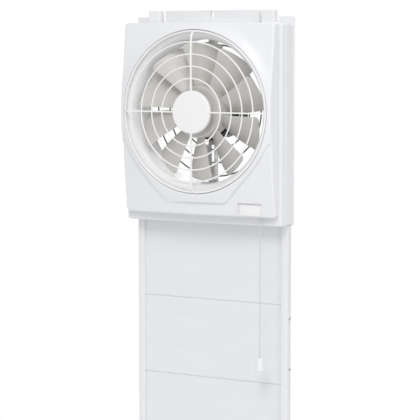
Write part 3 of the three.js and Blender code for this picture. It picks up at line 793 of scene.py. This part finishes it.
def frame_ring(angle):
    """The moulded frame's closed section along one ray, with the two small steps down its side."""
    reach = lambda inset: ray_to_box(angle, FRAME.x1 - inset, FRAME_BOTTOM + inset, FRAME.z1 - inset,
                                     max(0.5, 4.5 - inset))
    front, rear = FRAME.y0, FRAME.y1
    section = [(108.0, front + WALL), (108.0, front)]
    section += [(108 + (reach(3.2) - 108) * k / 4, front) for k in range(1, 5)]
    for k in range(1, 6):
        turn = math.pi / 2 * k / 5
        section.append((reach(0.6 + 2.6 * (1 - math.sin(turn))), front + 2.6 * (1 - math.cos(turn))))
    section += [(reach(0.6), front + 9.6), (reach(0.1), front + 10.2), (reach(0), front + 10.6),
                (reach(0), rear - 12.5), (reach(0.5), rear - 12), (reach(0.5), rear - 0.4), (reach(0.9), rear),
                (reach(WALL), rear), (reach(WALL), front + WALL)]
    return section


def build_frame():
    corners = [(x, z) for x in (-FRAME.x1, FRAME.x1) for z in (FRAME_BOTTOM, FRAME.z1)]
    shape = Mesh()
    shape.rings([on_ray(a, frame_ring(a)) for a in ray_angles(corners)], wrap=True)
    moulding = shape.piece("frame_moulding")
    for side in (-1, 1):
        for z in (-147, 113):
            post = prism("post", rounded_outline(side * 116 - 6, side * 116 + 6, z - 6, z + 6, 1, 3),
                         FRAME.y0 + 1, FRAME.y1 - 0.3, "xz")
            join_shell(moulding, post)
    finish_piece(moulding, "mounting_frame", smooth_angle=30)


def build_flange():
    tab_foot = 121.0
    tab_inner = 102.8
    x, low, high = FLANGE.x1, FLANGE.z0, FLANGE.z1
    outline = (arc((x - 1, high - 1), 1, 0, 90, 3) + arc((tab_inner + 1, high - 1), 1, 90, 180, 3)
               + [(tab_inner, tab_foot), (-tab_inner, tab_foot)] + arc((-tab_inner - 1, high - 1), 1, 0, 90, 3)
               + arc((-x + 1, high - 1), 1, 90, 180, 3) + arc((-x + 1, low + 1), 1, 180, 270, 3)
               + arc((x - 1, low + 1), 1, 270, 360, 3))
    flange = plate("flange_plate", [outline, circle(106)], FLANGE.y0, FLANGE.y1, 0.4)
    for side in (-1, 1):                    # pressed stiffening rib down each side
        rib = Mesh()
        rib.tube([(side * 112.5, 0.2, z) for z in range(-140, 101, 20)], 1.2, 8)
        join_shell(flange, rib.piece("rib"))
    finish_piece(flange, "rear_flange", smooth_angle=30)


GUARD_RINGS = ((55.6, 0.0), (74, 0.0), (93.2, 0.0), (107.6, 1.4))     # radius and y of each ring
GUARD_BARS = (45, 140, 220, 320)            # degrees
GUARD_WIRE = 1.05
STAY_HALF = 7.5
STAY_FRONT = -5.3
MOTOR_FLANGE = 42
EAR_X, EAR = 42.7, 4.2                      # the flange's screwed ears, at both sides


def build_guard():
    shape = Mesh()
    for radius, y in GUARD_RINGS:
        shape.hoop(radius, y, GUARD_WIRE, 8, 120)
    for angle in GUARD_BARS:
        a = math.radians(angle)
        shape.tube([(r * math.cos(a), 1.35, r * math.sin(a)) for r in (55.2, 80, 108.4)], GUARD_WIRE, 8)
    finish_piece(shape.piece("guard_wires"), "rear_guard", smooth_angle=50)


def flange_plate(name, hole, front, rear):
    """The round flange of the motor or of its stay, with a screwed ear at each side."""
    # the arcs of the flange and of the ear end where the two circles cross
    turn = math.degrees(math.acos((MOTOR_FLANGE ** 2 + EAR_X ** 2 - EAR ** 2) / (2 * MOTOR_FLANGE * EAR_X)))
    swing = 180 - math.degrees(math.acos((EAR ** 2 + EAR_X ** 2 - MOTOR_FLANGE ** 2) / (2 * EAR * EAR_X)))
    half = (arc((EAR_X, 0), EAR, -swing, swing, 14)[:-1]
            + arc((0, 0), MOTOR_FLANGE, turn, 180 - turn, 48)[:-1])
    outline = half + [(-x, -z) for x, z in half]
    return plate(name, [outline, circle(hole, sides=96)], front, rear, 0.3)


def build_stay():
    """The motor's stay: a pressed strip with a ring round the motor and folded edges towards the room."""
    span = Span("motor_stay")
    front, rear = STAY_FRONT, span.y1
    ring = flange_plate("stay_ring", 38, front, rear)
    half, fold = STAY_HALF, span.y0
    channel = ([(-half, fold), (-half + 0.6, fold), (-half + 1.4, fold + 0.3), (-half + 1.5, front - 1.2)]
               + arc((-half + 2.7, front - 1.2), 1.2, 180, 90, 3)
               + arc((half - 2.7, front - 1.2), 1.2, 90, 0, 3)
               + [(half - 1.5, fold + 0.3), (half - 1.4, fold + 0.1), (half - 0.6, fold), (half, fold)]
               + arc((half - 1.6, rear - 1.6), 1.6, 0, 90, 3)
               + arc((-half + 1.6, rear - 1.6), 1.6, 90, 180, 3))
    tongue = [(-half, front), (half, front), (half, rear), (-half, rear)]
    for side in (-1, 1):
        leg = prism("leg", channel, *sorted((side * 48, side * 97)), "xy")
        carve(leg, prism("slot", rounded_outline(-3, 3, *sorted((side * 40, side * 76)), 1, 3), -20, 10, "xz"))
        join_shell(ring, leg)
        for low, high in ((41, 48.5), (96.5, span.z1)):
            join_shell(ring, prism("tongue", tongue, *sorted((side * low, side * high)), "xy"))
    finish_piece(ring, "motor_stay", smooth_angle=35)


# ------------------------------------------------------------------ motor


def build_motor():
    front = Span("motor_front_housing")
    rear = Span("motor_rear_housing")
    shell = Mesh()
    shell.turned([(6, front.y0), (12.4, front.y0), (12.8, front.y0 + 0.5), (12.8, -18), (34, -18), (37, -17.5),
                  (38.6, -16.2), (39, -14.4), (39, front.y1), (37.6, front.y1), (37.6, -15.2), (12.8, -16.4),
                  (12.8, -12), (11.2, -12), (11.2, -19.2), (6, -19.2)], 96)
    front_shell = shell.piece("motor_front_shell")
    join_shell(front_shell, flange_plate("flange", 38.3, -7.3, front.y1))
    finish_piece(front_shell, "motor_front_housing")
    back = Mesh()
    end = rear.y1                           # closed rear end
    back.turned([(0.001, end - 1.6), (10, end - 1.6), (11, end), (24, end), (31, end - 0.8), (36.4, end - 3.4),
                 (38.8, end - 7), (39, end - 10), (39, rear.y0), (37.6, rear.y0), (37.6, end - 7),
                 (35, end - 3.9), (0.001, end - 3.4)], 96)
    for a in turns(24):                     # cooling ribs round the rear housing
        c, s = math.cos(a), math.sin(a)
        back.sweep([(38.7 * c, y, 38.7 * s) for y in (1.5, 12, end - 9)], rounded_bar(0.9, 0.8, 0.3),
                   up=Vector((c, 0, s)))
    rear_shell = back.piece("motor_rear_shell")
    join_shell(rear_shell, flange_plate("flange", 38.3, rear.y0, -1.2))
    finish_piece(rear_shell, "motor_rear_housing")


# ------------------------------------------------------------------ top bracket


def build_top_bracket():
    span = Span("top_plate")
    hole = arc((0, 137.3), 2.6, 0, 180, 8) + arc((0, 132.3), 2.6, 180, 360, 8)
    front, rear = -9.0, -4.0
    upright = plate("bracket_plate", [rounded_outline(span.x0, span.x1, span.z0, span.z1, 0.8, 3), hole],
                    front, rear, 0.35)
    rim = Mesh()
    rim_line = arc((0, 137.3), 3.5, 0, 180, 8) + arc((0, 132.3), 3.5, 180, 360, 8)
    rim.tube([(x, front + 0.1, z) for x, z in rim_line], 0.6, 8, closed=True)
    join_shell(upright, rim.piece("rim"))
    foot = prism("foot", rounded_outline(span.x0, span.x1, span.z0, span.z0 + 2.2, 0.5, 2), span.y0, -6, "xz")
    join_shell(upright, foot)
    finish_piece(upright, "top_plate", smooth_angle=30)
    for side in ("left", "right"):
        build_end_block(f"top_block_{side}")


def build_end_block(node):
    """End block of the top bracket: tapers towards its top and leans back a little."""
    span = Span(node)
    middle = span.x

    def level(narrow, back):
        half = (span.x1 - span.x0) / 2 - narrow
        y0 = span.y0 + back
        return [(middle - half, span.y1), (middle - half, y0 + 2), (middle - half + 1.6, y0),
                (middle + half - 1.6, y0), (middle + half, y0 + 2), (middle + half, span.y1)]

    shape = Mesh()
    shape.rings([[place(x, y, z) for x, y in level(narrow, back)] for z, narrow, back in
                 ((span.z0, 0, 0), (span.z0 + 8, 0.2, 0.4), (span.z1, 0.8, 1.6))], caps=True)
    bevelled(finish_piece(shape.piece(f"{node}_moulding"), node, smooth_angle=30), 0.9)


# ------------------------------------------------------------------ filler frame


def rail_section(side):
    """The side rail's section for side 1 or -1: a channel open to the boards, with softened corners."""
    span = Span("side_rail_right")
    inner, outer, front = span.x0, span.x1, span.y0
    points = (arc((outer - 1.2, front + 1.2), 1.2, 270, 360, 4) + arc((outer - 0.5, -0.5), 0.5, 0, 90, 2)
              + [(outer - 5.4, 0), (outer - 5.4, -1.2), (outer - 1.2, -1.2), (outer - 1.2, front + 1.2),
                 (inner + 1.2, front + 1.2), (inner + 1.2, -7.0), (inner, -7.0)]
              + arc((inner + 0.9, front + 0.9), 0.9, 180, 270, 4))
    return [(side * x, y) for x, y in points]


def build_rails():
    span = Span("side_rail_right")
    for side, word in ((1, "right"), (-1, "left")):
        rail = prism(f"rail_{word}_channel", rail_section(side), span.z0, span.z1, "xy")
        finish_piece(rail, f"side_rail_{word}", smooth_angle=30)
        lower = Span(f"lower_rail_{word}")
        bar = prism(f"lower_rail_{word}_bar", rounded_rail(lower), lower.z0, lower.z1, "xy")
        finish_piece(bar, f"lower_rail_{word}", smooth_angle=30)


def rounded_rail(span):
    """The lower rail's section: a bar with a groove down its front."""
    outline = rounded_outline(span.x0, span.x1, span.y0, span.y1, 0.6, 3)
    groove = [(span.x + u, span.y0 + depth) for u, depth in ((-0.8, 0), (-0.5, 0.6), (0.5, 0.6), (0.8, 0))]
    return outline[:12] + groove + outline[12:]


def slat_section(span, above, below):
    """A board's section in Y and Z: a tongue on its upper edge, a groove for the next in its lower edge."""
    front, rear = span.y0, span.y1
    middle = (front + rear) / 2
    low, high = span.z0 + 0.1, span.z1 - 0.1
    points = [(front + 0.35, high), (middle - 0.45, high)]
    if above:
        points += [(middle - 0.4, high + 1.3), (middle + 0.4, high + 1.3)]
    points += [(middle + 0.45, high), (rear, high), (rear, low), (middle + 0.75, low)]
    if below:
        points += [(middle + 0.75, low + 1.8), (middle - 0.75, low + 1.8)]
    points += [(middle - 0.75, low), (front + 0.35, low), (front, low + 0.35), (front, high - 0.35)]
    return points


def build_boards():
    for number in (1, 2, 3):
        node = f"filler_slat_{number}"
        span = Span(node)
        section = slat_section(span, above=number > 1, below=number < 3)
        slat = prism(f"slat_{number}_board", section, span.x0, span.x1, "yz")
        finish_piece(slat, node, smooth_angle=30)
    bevelled(finish_piece(block("lower_panel_board", Span("lower_panel")), "lower_panel"), 0.4)


def build_shoe():
    span = Span("sill_shoe")
    front, rear, low, high = span.y0, span.y1, span.z0, span.z1
    shape = [(front + 1.5, low), (front + 0.4, low + 0.5), (front, low + 1.6), (front, high - 3),
             (front + 0.9, high - 0.9), (front + 3, high), (-10.3, high), (-10.3, high - 1), (-0.6, high - 1),
             (-0.6, high), (rear - 1, high), (rear - 0.3, high - 0.3), (rear, high - 1), (rear, low + 0.4),
             (rear - 0.4, low)]
    shoe = prism("shoe_moulding", shape, span.x0, span.x1, "yz")
    finish_piece(bevelled(shoe, 0.5, 2), "sill_shoe", smooth_angle=30)


# ------------------------------------------------------------------ pull switch


def build_pull():
    cord = Span("pull_cord")
    knob = Span("pull_knob")
    x, y = cord.x, cord.y
    curve = bpy.data.curves.new("cord", "CURVE")
    curve.dimensions = "3D"
    curve.bevel_depth = 0.7 * MM
    curve.bevel_resolution = 4
    curve.use_fill_caps = True
    spline = curve.splines.new("POLY")
    steps = 24
    spline.points.add(steps)
    for k, point in enumerate(spline.points):
        point.co = (*place(x, y, cord.z1 + (cord.z0 - cord.z1) * k / steps), 1)
    line = new_object("pull_cord_braid", curve)
    finish_piece(line, "pull_cord")

    top, foot, radius = knob.z1, knob.z0, 6.5
    crown = [(0.9 + 4.6 * math.cos(math.radians(a)), top - 4.4 + 4.4 * math.sin(math.radians(a)))
             for a in range(90, -1, -10)]
    shape = Mesh()
    shape.upright([(0.85, top - 3)] + crown
                  + [(5.75, foot + 6), (6.0, foot + 3.6), (radius - 0.15, foot + 2.7), (radius, foot + 2.3),
                     (radius, foot + 0.5), (radius - 0.4, foot), (radius - 1.6, foot),
                     (radius - 1.8, foot + 0.4), (radius - 2, foot + 4), (0.85, foot + 5)], x, y, 56)
    button = Mesh()
    centre = Vector((x, y - 5.72, (top + foot) / 2 + 0.6))
    button.rings([[place(centre.x + u, centre.y - h + 0.25 * u ** 2 / 5.6, centre.z + v)
                   for u, v in circle(r, 24)]
                  for r, h in ((1.5, -0.6), (1.5, 0.0), (1.35, 0.18), (0.8, 0.26))], caps=True)
    knob_piece = shape.piece("pull_knob_moulding")
    join_shell(knob_piece, button.piece("button"))
    finish_piece(knob_piece, "pull_knob", smooth_angle=40)

    eyelet = Span("cord_eyelet")
    ring = Mesh()
    low = eyelet.z0 + 0.9
    ring.upright(arc((2.8, low), 0.9, 180, 270, 6) + arc((3.7, low), 0.9, 270, 360, 6)
                 + [(4.6, eyelet.z1), (1.9, eyelet.z1)], x, y, 40)
    finish_piece(ring.piece("cord_bush"), "cord_eyelet", smooth_angle=40)


# ------------------------------------------------------------------ wiring, seals and fasteners


def smooth_path(points, steps=8):
    """Catmull-Rom line through points."""
    vectors = [Vector(p) for p in points]
    line = []
    for i in range(len(vectors) - 1):
        a = vectors[max(i - 1, 0)]
        b, c = vectors[i], vectors[i + 1]
        d = vectors[min(i + 2, len(vectors) - 1)]
        for k in range(steps):
            t = k / steps
            line.append(0.5 * ((2 * b) + (c - a) * t + (2 * a - 5 * b + 4 * c - d) * t * t
                               + (3 * b - a - 3 * c + d) * t ** 3))
    line.append(vectors[-1])
    return line


def build_wiring():
    route = smooth_path([(-14, -10.4, -40.6), (-14, -10.2, -60), (-13.7, -9.6, -85), (-13.7, -9.3, -105),
                         (-11, -10, -120), (4, -12, -132), (32, -15, -138.5), (52, -17, -139),
                         (69.4, -18, -139)])
    lead = Mesh()
    lead.tube(route, 1.95, 12)
    for z in (-62, -92):                    # clips that hold the lead to the stay
        lead.tube([(-13.9 + 2.5 * math.cos(a), -9.9 + 2.5 * math.sin(a), z) for a in turns(20)],
                  0.5, 6, closed=True)
    finish_piece(lead.piece("motor_lead_cable"), "motor_lead")
    gland = Span("power_cord_gland")
    ring = Mesh()
    profile = [(3.2, gland.x1), (4.6, gland.x1), (4.8, gland.x1 - 0.3), (4.8, -126), (7.0, -126),
               (7.4, -126.2), (6.9, gland.x0), (3.8, gland.x0), (3.2, gland.x0 + 0.5)]
    ring.rings([[place(px, gland.y + r * math.cos(a), gland.z + r * math.sin(a)) for r, px in profile]
                for a in turns(40)], wrap=True)
    finish_piece(ring.piece("power_gland"), "power_cord_gland", smooth_angle=40)


def build_seals():
    for side in ("left", "right"):
        node = f"seal_{side}"
        bevelled(finish_piece(block(f"{node}_foam", Span(node)), node), 0.8)


def screw_mesh(head_radius, shank_radius, length):
    """A pan-head screw with a cross recess; its head's top faces -Y and its shank runs to +Y."""
    head = [(0.001, -2.0), (head_radius * 0.5, -1.92), (head_radius * 0.82, -1.6), (head_radius * 0.97, -0.9),
            (head_radius, -0.1), (head_radius * 0.98, 0), (shank_radius, 0), (shank_radius, length - 0.6),
            (0.001, length)]
    shape = Mesh()
    shape.rings([[Vector((r * math.cos(a), y, r * math.sin(a))) * MM for r, y in head]
                 for a in turns(32)], wrap=True)
    screw = shape.piece("screw_pattern")
    for turn in (0, math.pi / 2):
        cutter = Mesh()
        wide, thin = head_radius * 0.62, head_radius * 0.14
        outline = [(wide, thin), (-wide, thin), (-wide, -thin), (wide, -thin)]
        c, s = math.cos(turn), math.sin(turn)
        cutter.rings([[Vector((u * c - v * s, y, u * s + v * c)) * MM for u, v in outline]
                      for y in (-3.0, -0.9)], caps=True)
        carve(screw, cutter.piece("slot"))
    mesh = screw.data
    bpy.data.objects.remove(screw)
    return mesh


def build_screws():
    patterns = {}
    for node in sorted(NODES):
        if "_screw_" not in node:
            continue
        low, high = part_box(node)
        size = (high - low) / MM
        sideways = node.startswith("lock_screw")
        head = size.z / 2
        length = (size.x if sideways else size.y) - 2.0
        key = (round(head, 1), round(length, 1))
        if key not in patterns:
            patterns[key] = screw_mesh(head, head * 0.45, length)
        middle = (low + high) / 2
        if sideways:
            outward = 1 if middle.x > 0 else -1
            turn = Matrix.Rotation(math.pi / 2 * outward, 4, "Z")
            spot = Vector((high.x - 2 * MM if outward > 0 else low.x + 2 * MM, middle.y, middle.z))
        elif node.startswith("flange_screw"):
            turn = Matrix.Rotation(math.pi, 4, "Z")
            spot = Vector((middle.x, high.y - 2 * MM, middle.z))
        else:
            turn = Matrix.Identity(4)
            spot = Vector((middle.x, low.y + 2 * MM, middle.z))
        mesh = patterns[key].copy()
        mesh.transform(Matrix.Translation(spot) @ turn @ Matrix.Rotation(0.35 * len(node), 4, "Y"))
        finish_piece(new_object(f"{node}_head", mesh), node)


def finish_carried_nodes():
    """CAD nodes that stay: their slot's material, welded and with softened edges."""
    for node, piece in NODES.items():
        if piece.hide_render:
            continue
        piece.data.materials.clear()
        piece.data.materials.append(MATERIALS[SLOTS[node]])
        welded = piece.modifiers.new("weld", "WELD")
        welded.merge_threshold = 1e-6
        bevelled(piece, 0.3, 2)


# ------------------------------------------------------------------ the object

make_camera()
build_pull()
make_stage()
build_bezel()
build_label_plate()
build_grille()
build_impeller()
build_orifice()
build_frame()
build_flange()
build_guard()
build_stay()
build_motor()
build_top_bracket()
build_rails()
build_boards()
build_shoe()
build_wiring()
build_seals()
build_screws()
finish_carried_nodes()
